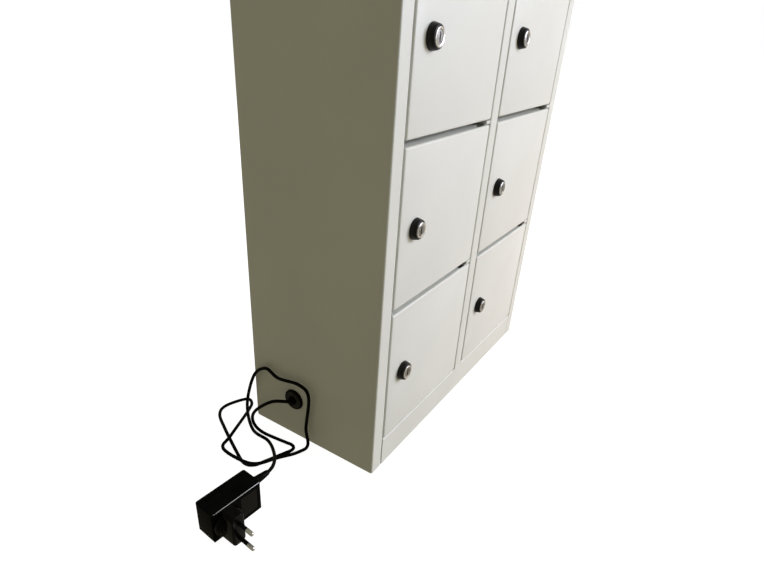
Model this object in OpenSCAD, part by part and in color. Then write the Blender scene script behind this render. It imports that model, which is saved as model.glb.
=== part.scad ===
// Phone locker with charging lead: folded steel cabinet, two columns of small
// hinged doors with cam locks, and a wall-plug power adapter on a loose lead.
// The origin is the centre of the base, +Z is up and the doors face -Y.

/* [Cabinet] */
// Depth from the front frame to the back panel
depth = 162; // [150:1:200]
// Thickness of the steel sheet
sheet = 1.2; // [1:0.1:1.5]
// Outside radius of a folded edge
bend_r = 2; // [1.6:0.1:2.4]
// Width of the frame face at each side and between the columns
rail_w = 17.5; // [17:0.5:24]
// How far the frame faces are folded back
lip_d = 15.5; // [15.2:0.1:15.8]
// Height of the plinth plate
plinth_h = 33; // [28:1:60]
// Height of the top rail
top_rail_h = 18; // [14:1:40]
// Width of the folds that carry the back panel
rear_fold_w = 15; // [10:1:20]
// Seam between a side frame face and the plinth or the top rail
seam = 0.8; // [0.4:0.1:1.2]

/* [Doors] */
// Rows of compartments
rows = 4; // [1:1:4]
// Width of a door
door_w = 162; // [150:1:200]
// Height of a door
door_h = 144; // [130:1:180]
// Depth of the folded door pan
door_d = 15; // [14:0.5:15]
// Gap between two doors, one above the other
row_gap = 5; // [4.6:0.1:7]
// Gap below the lowest door and above the highest one
sill_gap = 1.5; // [1:0.1:3]
// Gap at the lock side of a door
lock_gap = 2; // [1.5:0.1:3]
// Gap at the hinge side of a door
hinge_gap = 1.25; // [1.2:0.05:2]

/* [Hinges] */
// Radius of a hinge pin
pin_r = 1.5; // [1.2:0.1:1.8]
// Distance from the hinge axis to the hinge edge of the door
pin_inset = 5; // [4.5:0.1:5.5]
// Distance from the hinge axis to the front of the door
pin_back = 4.5; // [4.2:0.1:4.8]
// Running clearance of a pin in the door
pin_play = 0.05; // [0.02:0.01:0.1]
// How far a pin stands into the door beyond its sheet
pin_reach = 3; // [1:0.5:6]
// Thickness of a hinge tab
tab_t = 3.2; // [2:0.1:3.4]
// Depth of a hinge tab
tab_d = 9; // [8:0.5:12]
// Length of the relief slot beside a hinge tab
slot_l = 12; // [6:0.5:16]
// Width of the relief slot
slot_w = 7; // [4:0.5:9]

/* [Locks] */
// Distance from the lock axis to the lock edge of the door
lock_inset = 26.2; // [24:0.1:30]
// Radius of the black collar where it meets the door
collar_r = 10; // [9.5:0.1:12]
// Radius of the collar at its front edge
collar_front_r = 8.5; // [8.2:0.1:9.4]
// How far the collar stands proud of the door
collar_h = 6.2; // [5:0.1:9]
// Radius of the metal lock barrel
barrel_r = 7.2; // [6.5:0.1:7.6]
// How far the barrel stands proud of the collar
barrel_proud = 0.8; // [0.4:0.1:1.5]
// Radius of the turning plug
plug_r = 5; // [4.6:0.1:5.6]
// Running clearance of the plug in the barrel
plug_play = 0.05; // [0.02:0.01:0.1]
// How far the plug is sunk in the barrel
plug_sunk = 0.4; // [0.2:0.1:0.8]
// Length of the key slot
key_slot_l = 7; // [5:0.1:8]
// Width of the key slot
key_slot_w = 1.8; // [1.2:0.1:2.4]
// Depth of the key slot
key_slot_d = 9; // [6:0.5:11]
// Width across the flats of the lock nut
nut_af = 19; // [17:0.5:22]
// Thickness of the lock nut
nut_t = 4; // [3:0.5:6]
// Reach of the cam from the lock axis to its tip
cam_reach = 35; // [32:0.5:35.5]
// Width of the cam
cam_w = 14; // [12:0.5:16]
// Thickness of the cam
cam_t = 2; // [1.6:0.1:2.5]
// Side of the square that drives the cam
square_w = 6; // [5:0.1:6.4]

/* [Inside] */
// Depth of a compartment, measured from the front frame
room_d = 88; // [80:1:90]
// Fold at the front edge of a shelf
shelf_fold = 10; // [6:0.5:14]
// Clearance between the closed doors and the shelves
shelf_back = 3; // [2.5:0.5:6]
// Width of a charging socket
socket_w = 22; // [18:0.5:28]
// Height of a charging socket
socket_h = 14; // [12:0.5:20]
// Height of the socket centre above its shelf
socket_rise = 30; // [20:1:60]
// Distance from the inner back panel to the charging board
board_gap = 12; // [10:0.5:18]
// Thickness of the charging board
board_t = 1.6; // [1.2:0.1:2]
// Width of each leg of the charging board
board_w = 36; // [30:1:60]

/* [Wall fixing] */
// Distance between the fixing holes across the back
fix_x = 300; // [200:5:320]
// Distance between the fixing holes up the back
fix_z = 500; // [300:10:520]
// Radius of a fixing hole
fix_r = 3.5; // [2.5:0.1:5]

/* [Lead and adapter] */
// Diameter of the lead
cord_d = 3.6; // [3:0.1:4]
// Radius of the cable grommet
grommet_r = 12; // [11:0.5:14]
// Distance from the front frame to the grommet
grommet_y = 104; // [103:1:110]
// Height of the grommet above the floor
grommet_z = 48.5; // [45:0.5:60]
// Length of the adapter housing
adapter_l = 54; // [50:0.5:70]
// Thickness of the adapter housing as it lies
adapter_w = 24; // [22:0.5:32]
// Height of the adapter housing as it lies
adapter_h = 35; // [33:0.5:42]
// Radius of the adapter's edges
adapter_r = 1.5; // [1:0.5:4]
// Length of the strain relief
relief_l = 16; // [12:0.5:22]
// Distance between the centres of the two plug pins
plug_pitch = 18.6; // [18:0.1:19]
// Length of a plug pin
plug_pin_l = 19; // [17:0.5:20]
// Depth of the plug head
plug_head_d = 17; // [14:0.5:22]

/* [Hidden] */
$fn = 48;
columns = 2;
sides = ["left", "right"];

frame_grey = "#d9dad7";
black = "#1b1b1c";
chrome = "#c9ccd0";
zinc = "#a9adb0";
board_green = "#2f5d46";

// places that follow from the sizes
front_y = -depth / 2;
column_pitch = rail_w + lock_gap + door_w + hinge_gap;
width = columns * column_pitch + rail_w;
left_x = -width / 2;
row_pitch = door_h + row_gap;
first_door_z = plinth_h + sill_gap;
rail_z = first_door_z + rows * row_pitch - row_gap + sill_gap;
height = rail_z + top_rail_h;
inner_back_y = front_y + room_d;
board_y = inner_back_y + sheet + board_gap;
shelf_y = front_y + door_d + shelf_back;
cam_y = lip_d + 0.7;
base_fold_h = 12;
eps = 0.01;
joint_gap = 0.05;
fold_gap = 0.2;

function door_x(col) = left_x + rail_w + lock_gap + col * column_pitch;
function door_z(row) = first_door_z + row * row_pitch;
function room_left(col) = col == 0 ? left_x + sheet : sheet / 2;
function room_right(col) = col == 0 ? -sheet / 2 : -left_x - sheet;
function shelf_top(row) = row == 0 ? plinth_h : door_z(row) - (row_gap - sheet) / 2;
function hinge_x(col) = door_x(col) + door_w - pin_inset;

// a block whose front edges are rounded, drawn in plan: front at y = 0
module front_profile(w, d, r) {
    translate([0, r]) square([w, d - r]);
    translate([r, 0]) square([w - 2 * r, r]);
    for (x = [r, w - r]) translate([x, r]) circle(r);
}

// a block with all four front edges rounded
module pan_block(w, d, h, r) {
    intersection() {
        linear_extrude(h) front_profile(w, d, r);
        translate([w, 0, 0]) rotate([0, -90, 0]) linear_extrude(w) front_profile(h, d, r);
    }
}

// what a fold takes off a square edge that runs along +X, with the metal at +Y and +Z
module fold_cutter(l, r) {
    translate([-eps, -eps, -eps]) difference() {
        cube([l + 2 * eps, r + eps, r + eps]);
        translate([-eps, r + eps, r + eps]) rotate([0, 90, 0]) cylinder(r = r, h = l + 4 * eps);
    }
}

// the same in plan, for an edge that runs along Z
module corner_cutter(r) {
    difference() {
        translate([-eps, -eps]) square(r + eps);
        translate([r, r]) circle(r);
    }
}

// a cylinder that runs from y = 0 towards +Y
module rod_y(r, l) {
    rotate([-90, 0, 0]) cylinder(r = r, h = l);
}

// plan of a side panel: wall, frame face with its folded lip, and rear fold
module side_plan() {
    difference() {
        union() {
            square([sheet, depth - sheet]);
            square([rail_w, sheet]);
            translate([rail_w - sheet, 0]) square([sheet, lip_d]);
            translate([0, depth - 2 * sheet]) square([rear_fold_w, sheet]);
        }
        corner_cutter(bend_r);
        translate([rail_w, 0]) mirror([1, 0]) corner_cutter(bend_r);
    }
}

module side_sheet() {
    linear_extrude(height - sheet) side_plan();
}

module left_side_panel() {
    color(frame_grey) difference() {
        translate([left_x, front_y, 0]) side_sheet();
        translate([left_x - eps, front_y + grommet_y, grommet_z]) rotate([0, 90, 0])
            cylinder(r = grommet_r - 3, h = sheet + 2 * eps);
    }
}

module right_side_panel() {
    color(frame_grey) translate([-left_x, front_y, 0]) mirror([1, 0, 0]) side_sheet();
}

// top plate with its front rail, the rail's folded lip and two side folds
module top_panel() {
    rail_l = width - 2 * (rail_w + seam);
    side_fold_y = lip_d + 1;
    color(frame_grey) translate([left_x, front_y, 0]) difference() {
        union() {
            translate([0, 0, height - sheet]) cube([width, depth, sheet]);
            translate([rail_w + seam, 0, rail_z]) cube([rail_l, sheet, top_rail_h]);
            translate([rail_w + seam, 0, rail_z]) cube([rail_l, lip_d, sheet]);
            for (x = [sheet + fold_gap, width - 2 * sheet - fold_gap])
                translate([x, side_fold_y, rail_z + sheet])
                    cube([sheet, depth - side_fold_y - 3 * sheet, top_rail_h - sheet]);
        }
        translate([0, 0, height]) mirror([0, 0, 1]) fold_cutter(width, bend_r);
        for (col = [0 : columns - 1])
            translate([door_x(col) - left_x, 0, rail_z]) fold_cutter(door_w, bend_r / 2);
        for (col = [0 : columns - 1])
            translate([hinge_x(col) - left_x, pin_back, rail_z - eps])
                cylinder(r = pin_r + joint_gap, h = sheet + 2 * eps);
    }
}

// floor plate of the plinth, notched round the folds of the side panels
module base_pan() {
    tongue_x = rail_w + seam;
    main_y = lip_d + 0.5;
    color(frame_grey) translate([left_x, front_y, 0]) {
        translate([sheet, main_y, 0]) cube([width - 2 * sheet, depth - main_y - 2 * sheet, sheet]);
        translate([tongue_x, sheet, 0]) cube([width - 2 * tongue_x, main_y, sheet]);
        for (x = [sheet, width - 2 * sheet])
            translate([x, main_y, 0]) cube([sheet, depth - main_y - 3 * sheet, base_fold_h]);
    }
}

// front plate of the plinth with a sill folded back at the top and a foot fold below
module plinth_plate() {
    plate_l = width - 2 * (rail_w + seam);
    foot_d = 12;
    color(frame_grey) translate([left_x, front_y, 0]) difference() {
        translate([rail_w + seam, 0, 0]) {
            cube([plate_l, sheet, plinth_h]);
            translate([0, 0, plinth_h - sheet]) cube([plate_l, lip_d, sheet]);
            translate([0, 0, sheet]) cube([plate_l, foot_d, sheet]);
        }
        for (col = [0 : columns - 1])
            translate([door_x(col) - left_x, 0, plinth_h]) mirror([0, 0, 1])
                fold_cutter(door_w, bend_r);
        for (col = [0 : columns - 1])
            translate([hinge_x(col) - left_x, pin_back, plinth_h - sheet - eps])
                cylinder(r = pin_r + joint_gap, h = sheet + 2 * eps);
    }
}

module back_panel() {
    margin = 0.5;
    color(frame_grey) difference() {
        translate([left_x + margin, -front_y - sheet, margin])
            cube([width - 2 * margin, sheet, height - sheet - 2 * margin]);
        for (x = [-1, 1], z = [-1, 1])
            translate([x * fix_x / 2, -front_y - sheet - eps, height / 2 + z * fix_z / 2])
                rod_y(fix_r, sheet + 2 * eps);
    }
}

// frame face between the columns, its two lips, and the wall behind it
module centre_partition() {
    post_h = rail_z - plinth_h;
    color(frame_grey) {
        translate([0, front_y, plinth_h]) linear_extrude(post_h) difference() {
            union() {
                translate([-rail_w / 2, 0]) square([rail_w, sheet]);
                for (x = [-rail_w / 2, rail_w / 2 - sheet])
                    translate([x, 0]) square([sheet, lip_d]);
                translate([-sheet / 2, 0]) square([sheet, room_d]);
            }
            translate([-rail_w / 2, 0]) corner_cutter(bend_r);
            translate([rail_w / 2, 0]) mirror([1, 0]) corner_cutter(bend_r);
        }
        translate([-sheet / 2, front_y + lip_d + 0.5, rail_z - eps])
            cube([sheet, room_d - lip_d - 0.5, top_rail_h - sheet + eps]);
    }
}

// one shelf for each compartment, with a fold along its front edge
module shelves() {
    shelf_d = inner_back_y - shelf_y;
    color(frame_grey) for (row = [0 : rows - 1], col = [0 : columns - 1]) {
        shelf_w = room_right(col) - room_left(col);
        translate([room_left(col), shelf_y, shelf_top(row) - sheet]) {
            cube([shelf_w, shelf_d, sheet]);
            translate([0, 0, -shelf_fold]) cube([shelf_w, sheet, shelf_fold + eps]);
        }
    }
}

function socket_places() = [for (row = [0 : rows - 1], col = [0 : columns - 1])
    [(room_left(col) + room_right(col)) / 2, inner_back_y, shelf_top(row) + socket_rise]];

module inner_back_panel() {
    play = 0.3;
    color(frame_grey) difference() {
        translate([left_x + sheet, inner_back_y, sheet])
            cube([width - 2 * sheet, sheet, rail_z - sheet]);
        for (x = [left_x + sheet - eps, -left_x - 2 * sheet - fold_gap])
            translate([x, inner_back_y - eps, sheet - eps])
                cube([sheet + fold_gap + eps, sheet + 2 * eps, base_fold_h - sheet + fold_gap]);
        for (place = socket_places())
            translate(place + [-socket_w / 2 - play, -eps, -socket_h / 2 - play])
                cube([socket_w + 2 * play, sheet + 2 * eps, socket_h + 2 * play]);
        for (place = standoff_places())
            translate(place + [0, -eps, 0]) rod_y(screw_r, sheet + 2 * eps);
    }
}

// a tab welded to the frame between two doors, which carries one hinge pin
module hinge_tabs() {
    tab_l = hinge_gap + pin_inset + pin_r + 1.5;
    color(frame_grey) for (row = [1 : 1 : rows - 1], col = [0 : columns - 1])
        difference() {
            translate([door_x(col) + door_w + hinge_gap - tab_l, front_y + 0.5,
                    door_z(row) - (row_gap + tab_t) / 2])
                cube([tab_l, tab_d, tab_t]);
            translate([hinge_x(col), front_y + pin_back, door_z(row) - row_gap])
                cylinder(r = pin_r + joint_gap, h = row_gap * 2);
        }
}

// pins in the sill, in the tabs and in the top rail
module hinge_pins() {
    reach = sheet + pin_reach;
    head = 1;
    gap_pin = row_gap + 2 * reach;
    end_pin = head + sheet + sill_gap + reach;
    color(zinc) for (col = [0 : columns - 1])
        translate([hinge_x(col), front_y + pin_back, 0]) {
            translate([0, 0, plinth_h - sheet - head]) cylinder(r = pin_r, h = end_pin);
            for (row = [1 : 1 : rows - 1])
                translate([0, 0, door_z(row) - row_gap - reach])
                    cylinder(r = pin_r, h = gap_pin);
            translate([0, 0, rail_z - sill_gap - reach]) cylinder(r = pin_r, h = end_pin);
        }
}

// folded pan, open at the back, with bores for the hinge pins and the lock
module door(row, col) {
    slot_x = door_w - pin_inset - pin_r - 2.5 - slot_l;
    color(frame_grey) translate([door_x(col), front_y, door_z(row)]) difference() {
        pan_block(door_w, door_d, door_h, bend_r);
        translate([sheet, sheet, sheet])
            pan_block(door_w - 2 * sheet, door_d, door_h - 2 * sheet, bend_r - sheet);
        translate([lock_inset, -eps, door_h / 2]) rod_y(barrel_r + joint_gap, sheet + 2 * eps);
        for (z = [-eps, door_h - sheet - eps]) {
            translate([door_w - pin_inset, pin_back, z])
                cylinder(r = pin_r + pin_play, h = sheet + 2 * eps);
            translate([slot_x, pin_back - 2.5, z]) cube([slot_l, slot_w, sheet + 2 * eps]);
        }
    }
}

// places a piece on a door's lock axis, with y = 0 at the front of the door
module at_lock(row, col) {
    translate([door_x(col) + lock_inset, front_y, door_z(row) + door_h / 2]) children();
}

// black plastic collar round the barrel, wider at the door and rounded at its front
module lock_collar(row, col) {
    edge = 0.8;
    slope = (collar_r - collar_front_r) / collar_h;
    color(black) at_lock(row, col) rotate([90, 0, 0]) rotate_extrude() {
        polygon([[barrel_r + joint_gap, 0], [collar_r, 0],
            [collar_r - slope * (collar_h - edge), collar_h - edge],
            [collar_front_r - edge, collar_h], [barrel_r + joint_gap, collar_h]]);
    }
}

// barrel with its plug bore, and the nut that clamps it behind the door
module lock_barrel(row, col) {
    front = collar_h + barrel_proud;
    barrel_l = front + cam_y - 1.2;
    color(chrome) at_lock(row, col) {
        translate([0, -front, 0]) difference() {
            rod_y(barrel_r, barrel_l);
            translate([0, -eps, 0]) rod_y(plug_r + plug_play, barrel_l + 2 * eps);
        }
        translate([0, sheet, 0]) difference() {
            rotate([-90, 0, 0]) linear_extrude(nut_t) circle(d = nut_af / cos(30), $fn = 6);
            translate([0, -eps, 0]) rod_y(barrel_r + joint_gap, nut_t + 2 * eps);
        }
    }
}

// turning plug with an upright key slot and the square that drives the cam
module lock_plug(row, col) {
    front = collar_h + barrel_proud - plug_sunk;
    color(chrome) at_lock(row, col) translate([0, -front, 0]) {
        difference() {
            rod_y(plug_r, front + cam_y);
            translate([-key_slot_w / 2, -eps, -key_slot_l / 2])
                cube([key_slot_w, key_slot_d, key_slot_l]);
        }
        translate([-square_w / 2, front + cam_y - eps, -square_w / 2])
            cube([square_w, cam_t + eps, square_w]);
    }
}

// flat cam, pointing down when unlocked, and the screw that holds it
module lock_cam(row, col) {
    tip_r = 4;
    washer_r = 4.6;
    washer_t = 2.2;
    color(zinc) at_lock(row, col) {
        translate([0, cam_y + cam_t, 0]) rotate([90, 0, 0]) linear_extrude(cam_t) difference() {
            union() {
                circle(cam_w / 2);
                translate([-cam_w / 2, -cam_reach + tip_r]) square([cam_w, cam_reach - tip_r]);
                translate([-cam_w / 2 + tip_r, -cam_reach]) square([cam_w - 2 * tip_r, tip_r]);
                for (x = [-1, 1])
                    translate([x * (cam_w / 2 - tip_r), -cam_reach + tip_r]) circle(tip_r);
            }
            square(square_w + 2 * joint_gap, center = true);
        }
        translate([0, cam_y + cam_t + joint_gap, 0]) rod_y(washer_r, washer_t);
    }
}

// rubber grommet with a groove for the side sheet, a dished face and a hub
grommet_x = left_x - 7;
module cable_grommet() {
    neck_r = grommet_r - 3 - joint_gap;
    rim = 2.6;
    hub_r = 4.6;
    hub_h = 7;
    inner = 2.4;
    color(black) translate([left_x, front_y + grommet_y, grommet_z])
        rotate([0, -90, 0]) rotate_extrude() polygon([
            [0, -sheet - inner], [grommet_r - 1.5, -sheet - inner], [grommet_r - 0.5, -sheet - joint_gap],
            [neck_r, -sheet - joint_gap], [neck_r, joint_gap], [grommet_r, joint_gap],
            [grommet_r - 0.8, rim], [grommet_r - 3.2, rim], [hub_r + 1, 1.2],
            [hub_r - 0.4, hub_h], [0, hub_h]]);
}

// charging sockets on the board, with their faces through the inner back panel
module charging_sockets() {
    face = 1.5;
    mouth = [9, 3.2];
    mouth_d = 7;
    color(black) for (place = socket_places()) translate(place) difference() {
        union() {
            translate([-socket_w / 2, -0.3, -socket_h / 2])
                cube([socket_w, sheet + board_gap + 0.3, socket_h]);
            translate([-socket_w / 2 - face, -face - 0.3, -socket_h / 2 - face])
                cube([socket_w + 2 * face, face, socket_h + 2 * face]);
        }
        translate([-mouth[0] / 2, -face - 1, -mouth[1] / 2]) cube([mouth[0], mouth_d, mouth[1]]);
    }
}

board_foot_z = 70;
board_over = 30;
board_top_z = shelf_top(rows - 1) + socket_rise + board_over;
screw_r = 1.6;
screw_inset = 5;
screw_end = 10;
terminal_size = [12, 9, 10];
terminal_rise = 4;
function standoff_places() = [for (col = [0 : columns - 1], side = [-1, 1],
        z = [board_foot_z + screw_end, board_top_z - screw_end])
    [(room_left(col) + room_right(col)) / 2 + side * (board_w / 2 - screw_inset),
        inner_back_y, z]];

// circuit board with a leg behind each column and a bridge across the bottom
module charging_board() {
    bridge_h = 22;
    leg_x = (room_right(1) + room_left(1)) / 2;
    color(board_green) translate([0, board_y, 0]) difference() {
        union() {
            for (x = [-leg_x, leg_x])
                translate([x - board_w / 2, 0, board_foot_z])
                    cube([board_w, board_t, board_top_z - board_foot_z]);
            translate([-leg_x, 0, board_foot_z]) cube([2 * leg_x, board_t, bridge_h]);
            translate([-leg_x - terminal_size[0] / 2, board_t - eps, board_foot_z + terminal_rise])
                cube(terminal_size);
        }
        for (place = standoff_places())
            translate([place[0], -eps, place[2]]) rod_y(screw_r, board_t + 2 * eps);
    }
}

module board_standoffs() {
    collar = 2.8;
    tail = 2.5;
    color(zinc) for (place = standoff_places()) translate(place) {
        translate([0, sheet, 0]) rod_y(collar, board_gap);
        translate([0, sheet + board_gap - eps, 0]) rod_y(screw_r - joint_gap, board_t + tail);
        translate([0, -0.8, 0]) rod_y(screw_r - joint_gap, sheet + 0.8 + eps);
    }
}

// smooth path through a list of points, kept above the floor
function spline(a, b, c, d, t) = 0.5 * (2 * b + (c - a) * t
    + (2 * a - 5 * b + 4 * c - d) * t * t + (3 * b - a - 3 * c + d) * t * t * t);
function padded(points) = let (n = len(points))
    concat([2 * points[0] - points[1]], points, [2 * points[n - 1] - points[n - 2]]);
function path(points, steps, lowest) = let (p = padded(points), n = len(points))
    concat([for (i = [0 : n - 2], k = [0 : steps - 1])
        let (q = spline(p[i], p[i + 1], p[i + 2], p[i + 3], k / steps))
        [q[0], q[1], max(q[2], lowest)]], [points[n - 1]]);
function unit(v) = v / norm(v);
function tangents(p, first, last) = let (n = len(p))
    [for (i = [0 : n - 1]) i == 0 ? first : i == n - 1 ? last : unit(p[i + 1] - p[i - 1])];
// a side direction for every ring, carried along so that the tube doesn't twist
function side_dirs(t, seed) = [for (i = 0, s = unit(seed - (seed * t[0]) * t[0]); i < len(t);
    i = i + 1, s = i < len(t) ? unit(s - (s * t[i]) * t[i]) : s) s];

// a round tube swept along a path, with flat ends square to the given directions
module tube(points, r, edges, steps, lowest, first, last) {
    p = path(points, steps, lowest);
    t = tangents(p, first, last);
    s = side_dirs(t, [0.2, 0.3, 1]);
    n = len(p);
    ring_points = [for (i = [0 : n - 1], k = [0 : edges - 1])
        p[i] + r * (cos(k * 360 / edges) * s[i] + sin(k * 360 / edges) * cross(t[i], s[i]))];
    walls = [for (i = [0 : n - 2], k = [0 : edges - 1])
        let (a = i * edges + k, b = i * edges + (k + 1) % edges)
        each [[a, a + edges, b], [b, a + edges, b + edges]]];
    ends = [for (k = [1 : edges - 2]) each [[0, k, k + 1],
        [(n - 1) * edges, (n - 1) * edges + k + 1, (n - 1) * edges + k]]];
    polyhedron(ring_points, concat(walls, ends));
}

// where the adapter lies on the floor, measured from the left front corner of the cabinet
adapter_place = [-124.5, 73, 0];
adapter_turn = -5;
relief_side = -4;
relief_z = adapter_h - 5;
function from_adapter(v) = adapter_place + [v[0] * cos(adapter_turn) - v[1] * sin(adapter_turn),
    v[0] * sin(adapter_turn) + v[1] * cos(adapter_turn), v[2]];
relief_tip = from_adapter([adapter_l / 2 + relief_l, relief_side, relief_z]);

// the lead's way from the grommet: over the floor in loose loops, up against the side panel in
// an arch, and back to the adapter; measured from the left front corner of the cabinet
cord_route = concat([
    [-7, grommet_y, grommet_z], [-15, grommet_y + 2, grommet_z + 5],
    [-22, grommet_y + 13, grommet_z + 3.5], [-26, 134, 37], [-24, 145, 20],
    [-22, 144, 6], [-22, 130, 2], [-19, 102, 2], [-18, 94, 2], [-20, 89, 2],
    [-25, 88, 2], [-33, 91, 2], [-51, 98, 2], [-64, 104, 2], [-68, 115, 2],
    [-60, 135, 2], [-42, 172, 2], [-29, 194, 2], [-14, 200, 2], [9, 191, 2],
    [9, 181, 2], [-4, 173, 2], [-50, 153, 6], [-66, 148, 3], [-70, 118, 6],
    [-65, 100, 7], [-45.5, 90.5, 5], [-13, 77.5, 2], [-5, 84, 22], [-6, 79, 66],
    [-6, 92, 76], [-6, 121, 72], [-6, 139, 77], [-6, 158, 59], [-7, 171, 14],
    [-28, 142, 6], [-30, 117, 4], [-43, 96, 9], [-63, 76, 21]], [relief_tip]);

module power_cord() {
    color(black) translate([left_x, front_y, 0])
        tube(cord_route, cord_d / 2, 8, 2, cord_d / 2, [-1, 0, 0],
            [-cos(adapter_turn), -sin(adapter_turn), 0]);
}

// lead inside the cabinet, from the grommet to the terminal on the board
supply_route = [[sheet + 2.4, grommet_y, grommet_z], [20, grommet_y, grommet_z - 2],
    [45, grommet_y + 6, grommet_z + 4], [70, grommet_y + 8, grommet_z + 16],
    [(room_left(0) + room_right(0)) / 2 - left_x - terminal_size[0] / 2,
        board_y - front_y + board_t + terminal_size[1] / 2,
        board_foot_z + terminal_rise + terminal_size[2] / 2]];
module supply_lead() {
    color(black) translate([left_x, front_y, 0])
        tube(supply_route, cord_d / 2, 8, 4, 0, [1, 0, 0], [1, 0, 0]);
}

module on_adapter(v) {
    translate([left_x, front_y, 0] + from_adapter(v)) rotate([0, 0, adapter_turn]) children();
}

// square with rounded corners
module rounded_square(w, h, r) {
    translate([-w / 2 + r, 0]) square([w - 2 * r, h]);
    translate([-w / 2, r]) square([w, h - 2 * r]);
    for (x = [r - w / 2, w / 2 - r], y = [r, h - r]) translate([x, y]) circle(r);
}

plug_foot_r = 14;
plug_side = plug_foot_r + 1 - adapter_l / 2;
plug_z = adapter_h / 2;
dish_d = 0.8;

// adapter housing with rounded edges and a shallow dish for the foot of the plug head
module adapter_housing() {
    dish_r = plug_foot_r + 0.4;
    color(black) on_adapter([0, 0, 0]) difference() {
        intersection() {
            translate([0, adapter_w / 2, 0]) rotate([90, 0, 0])
                linear_extrude(adapter_w) rounded_square(adapter_l, adapter_h, adapter_r);
            rotate([90, 0, 90]) translate([0, 0, -adapter_l / 2])
                linear_extrude(adapter_l) rounded_square(adapter_w, adapter_h, adapter_r);
        }
        translate([plug_side, -adapter_w / 2 - eps, plug_z]) rod_y(dish_r, dish_d + eps);
    }
}

// tapered sleeve where the lead enters the adapter
module cord_strain_relief() {
    color(black) on_adapter([adapter_l / 2, relief_side, relief_z]) rotate([0, 90, 0])
        cylinder(r1 = 4.4, r2 = 2.7, h = relief_l);
}

// plug head on its round foot, with its two pins one above the other
module plug_head() {
    foot_t = 7;
    head_w = 14;
    head_h = adapter_h - 0.4;
    head_lift = dish_d + 0.2;
    plug_pin_r = 2;
    color(black) on_adapter([plug_side, -adapter_w / 2 + dish_d - joint_gap, plug_z])
        rotate([90, 0, 0]) {
            cylinder(r = plug_foot_r, h = foot_t);
            translate([0, -head_h / 2, head_lift]) linear_extrude(plug_head_d - head_lift)
                rounded_square(head_w, head_h, head_w / 2 - 0.5);
            for (z = [-1, 1])
                translate([0, z * plug_pitch / 2, 0])
                    cylinder(r = plug_pin_r, h = plug_head_d + plug_pin_l);
        }
}

left_side_panel();
right_side_panel();
top_panel();
base_pan();
plinth_plate();
back_panel();
centre_partition();
shelves();
inner_back_panel();
hinge_tabs();
hinge_pins();
cable_grommet();
charging_sockets();
charging_board();
board_standoffs();
supply_lead();
power_cord();
cord_strain_relief();
adapter_housing();
plug_head();
for (row = [0 : rows - 1], col = [0 : columns - 1]) {
    place = str("_", row + 1, "_", sides[col]);
    door(row, col);
    lock_collar(row, col);
    lock_barrel(row, col);
    lock_plug(row, col);
    lock_cam(row, col);
}
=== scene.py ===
import math
from contextlib import contextmanager

import bmesh
import bpy
from mathutils import Euler, Matrix, Vector


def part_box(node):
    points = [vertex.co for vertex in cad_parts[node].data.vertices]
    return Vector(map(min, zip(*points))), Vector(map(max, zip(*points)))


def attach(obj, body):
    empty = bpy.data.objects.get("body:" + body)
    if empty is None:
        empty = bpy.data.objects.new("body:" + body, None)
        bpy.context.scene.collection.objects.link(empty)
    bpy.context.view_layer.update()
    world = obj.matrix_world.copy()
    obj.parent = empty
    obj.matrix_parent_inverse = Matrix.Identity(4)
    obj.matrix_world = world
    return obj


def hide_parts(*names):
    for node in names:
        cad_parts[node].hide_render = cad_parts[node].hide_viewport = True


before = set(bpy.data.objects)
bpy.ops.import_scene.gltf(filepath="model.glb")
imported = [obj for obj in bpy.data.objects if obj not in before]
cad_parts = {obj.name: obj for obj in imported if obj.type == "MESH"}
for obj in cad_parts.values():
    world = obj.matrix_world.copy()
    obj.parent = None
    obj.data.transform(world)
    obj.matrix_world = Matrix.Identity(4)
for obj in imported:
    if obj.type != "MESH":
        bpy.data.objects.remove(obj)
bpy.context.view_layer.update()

MM = 0.001

# The cabinet, as its nodes give it
SIDES = ("left", "right")
ROWS = sum(name.startswith("door_") and name.endswith("left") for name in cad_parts)
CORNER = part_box("left_side_panel")[0]
FRONT = CORNER.y
SHEET = 1.2 * MM
BEND_RADIUS = 2 * MM

# Radii of the bore for a hinge pin and of the hole for a lock barrel
PIN_BORE = 1.55 * MM
BARREL_BORE = 7.25 * MM

# The camera's place, how it is turned, and how far the picture is shifted in the frame
CAMERA_PLACE = Vector((-544.1, -298.0, 414.9)) * MM
CAMERA_YAW = math.radians(-58.45)
CAMERA_TILT = math.radians(60.84)
CAMERA_ROLL = math.radians(3.76)
FOCAL_LENGTH = 25.54
SENSOR_WIDTH = 36
CAMERA_SHIFT = 0.0438

# The adapter, lying on its long side
ADAPTER_PLACE = CORNER + Vector((-124.5, 73, 0)) * MM
ADAPTER_TURN = math.radians(-5)
ADAPTER_SIZE = Vector((54, 24, 35)) * MM
RELIEF_LENGTH = 16 * MM
RELIEF_PLACE = Vector((ADAPTER_SIZE.x / 2, -4 * MM, 30 * MM))
PLUG_PLACE = Vector((-12 * MM, -ADAPTER_SIZE.y / 2 + 0.75 * MM, ADAPTER_SIZE.z / 2))

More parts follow.
